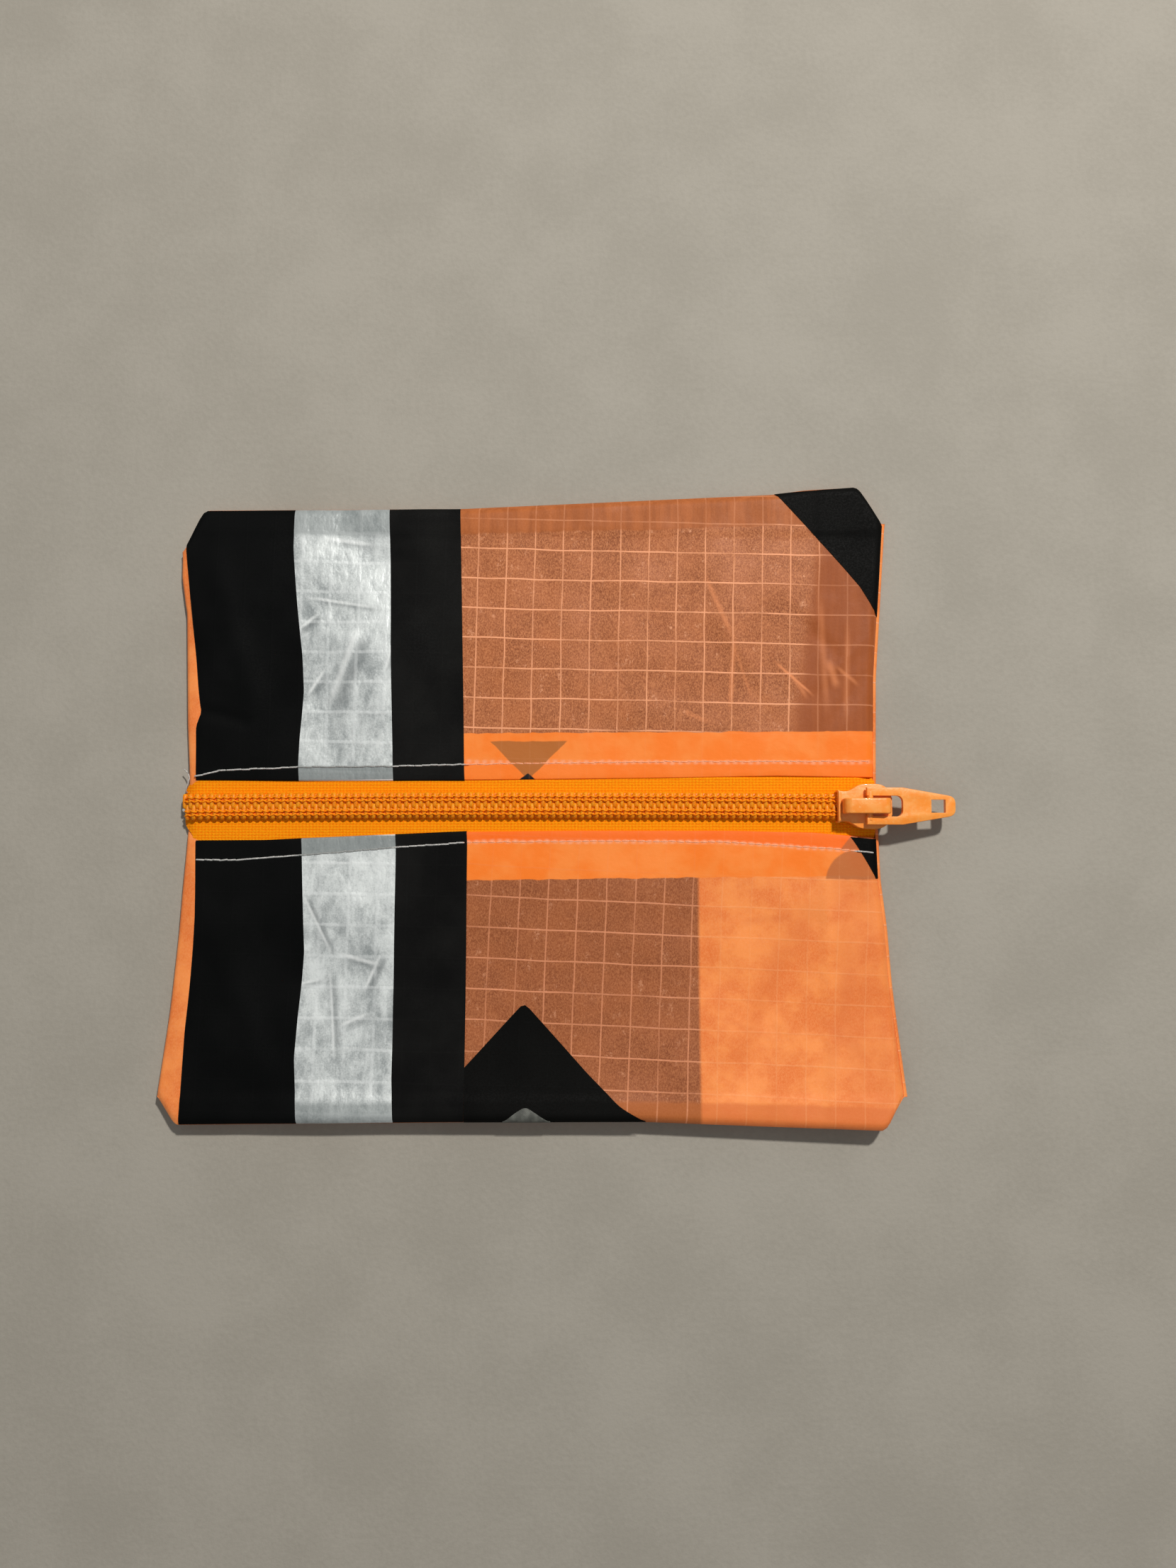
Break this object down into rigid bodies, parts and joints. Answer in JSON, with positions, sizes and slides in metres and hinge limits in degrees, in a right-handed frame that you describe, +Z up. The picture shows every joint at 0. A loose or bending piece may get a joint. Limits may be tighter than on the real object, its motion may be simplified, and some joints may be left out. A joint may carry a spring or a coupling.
{
  "type": "flat zip pouch",
  "caption": "Flat rectangular zip pouch in ripstop kite cloth with colour blocks, a coil zip across the front and a sliding puller with a swinging pull tab.",
  "frame": {"origin": "middle of the bounding box, on the resting face of the back panel", "axes": "+X along the zip towards its closed end, +Y across the zip, +Z up from the resting face"},
  "size_m": [0.1754, 0.1436, 0.0088],
  "materials": {
    "orange_ripstop": "satin",
    "black_ripstop": "satin",
    "silver_cloth": "satin",
    "grey_cloth": "satin",
    "white_thread": "matte",
    "orange_thread": "matte",
    "orange_tape": "matte",
    "orange_coil": "satin",
    "painted_metal": "satin",
    "spring_steel": "satin"
  },
  "bodies": {
    "pouch": {"back_panel": "orange_ripstop", "front_panel_upper": "orange_ripstop", "front_panel_lower": "orange_ripstop", "back_black_block": "black_ripstop", "black_block_upper": "black_ripstop", "black_block_lower": "black_ripstop", "black_strip_upper": "black_ripstop", "black_strip_lower": "black_ripstop", "black_corner_upper": "black_ripstop", "black_corner_lower": "black_ripstop", "silver_strip_upper": "silver_cloth", "silver_strip_lower": "silver_cloth", "grey_peak_lower": "grey_cloth", "seam_thread": "white_thread", "topstitch_upper": "white_thread", "topstitch_lower": "white_thread", "coil_cord_upper": "orange_thread", "coil_cord_lower": "orange_thread", "coil_stitch_upper": "orange_thread", "coil_stitch_lower": "orange_thread", "zip_tape_upper": "orange_tape", "zip_tape_lower": "orange_tape", "zip_coil_upper": "orange_coil", "zip_coil_lower": "orange_coil"},
    "slider": {"slider_body": "painted_metal", "slider_cap": "painted_metal", "lock_spring": "spring_steel"},
    "pull": {"pull_tab": "painted_metal"}
  },
  "joints": [
    {"name": "zip_slide", "type": "slide", "parent": "pouch", "child": "slider", "axis": [-1, 0, 0], "range_m": [0, 0.136], "deforming": ["zip_coil_upper", "zip_coil_lower"]},
    {"name": "pull_swing", "type": "hinge", "parent": "slider", "child": "pull", "pos_m": [0.06866, -0.00125, 0.00665], "axis": [0, -1, 0], "range_deg": [0, 184], "deforming": ["lock_spring"]}
  ]
}
